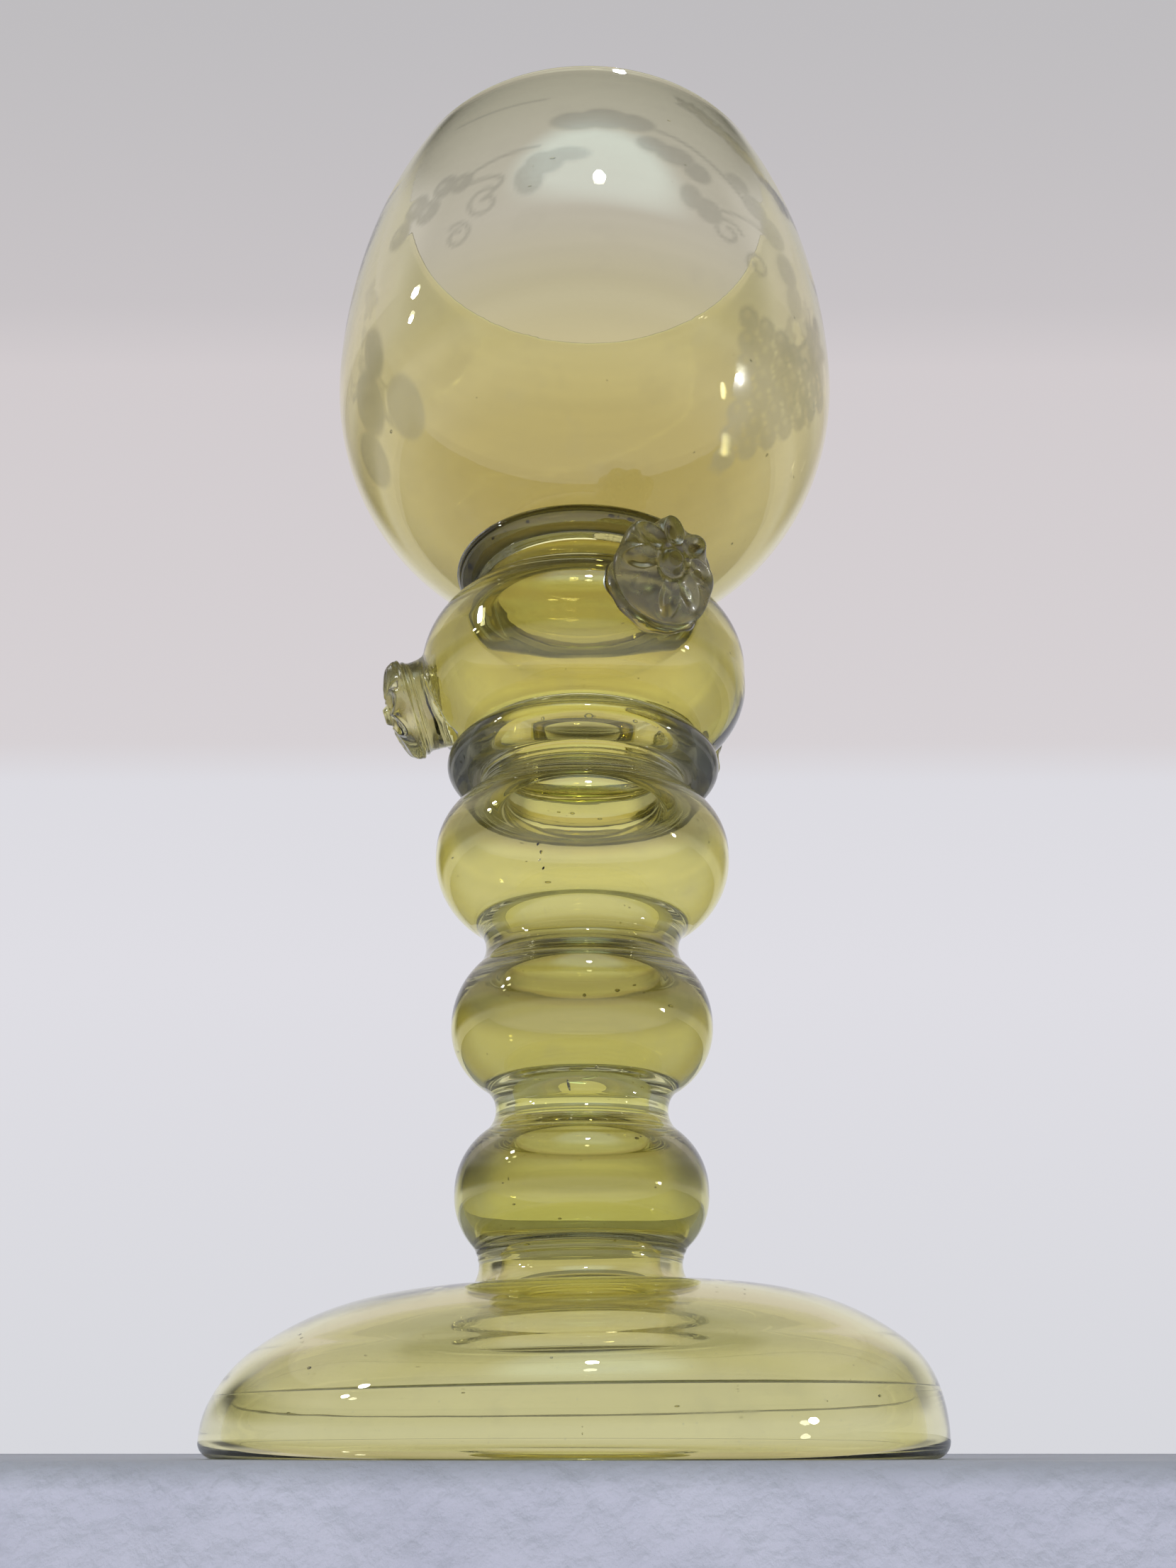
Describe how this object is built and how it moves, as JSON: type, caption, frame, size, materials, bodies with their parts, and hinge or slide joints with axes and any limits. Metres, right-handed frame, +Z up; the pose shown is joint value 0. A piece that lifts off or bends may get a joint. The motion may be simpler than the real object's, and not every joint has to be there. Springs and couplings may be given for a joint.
{
  "type": "roemer glass",
  "caption": "Tall green roemer: thin egg-shaped bowl on a stem of hollow bulbs with wound rings, stamped prunts and a folded dome foot.",
  "frame": {"origin": "centre of the foot's ring of contact with the table, on the stem's axis", "axes": "+Z up along the stem's axis, -Y towards the viewer of the picture, +X to the viewer's right"},
  "size_m": [0.1328, 0.1328, 0.3007],
  "materials": {
    "stem_glass": "clear blown glass, yellow green",
    "applied_glass": "thick clear trailed and stamped glass, olive green",
    "bowl_glass": "thin clear blown glass, pale yellow green, with a matt engraved vine"
  },
  "bodies": {
    "root": {"foot": "stem_glass", "lower_bulb": "stem_glass", "middle_bulb": "stem_glass", "upper_bulb": "stem_glass", "prunted_knop": "stem_glass", "cordon_ring": "applied_glass", "collar_ring": "applied_glass", "prunt_front": "applied_glass", "prunt_left": "applied_glass", "prunt_rear": "applied_glass", "bowl": "bowl_glass"}
  },
  "joints": []
}
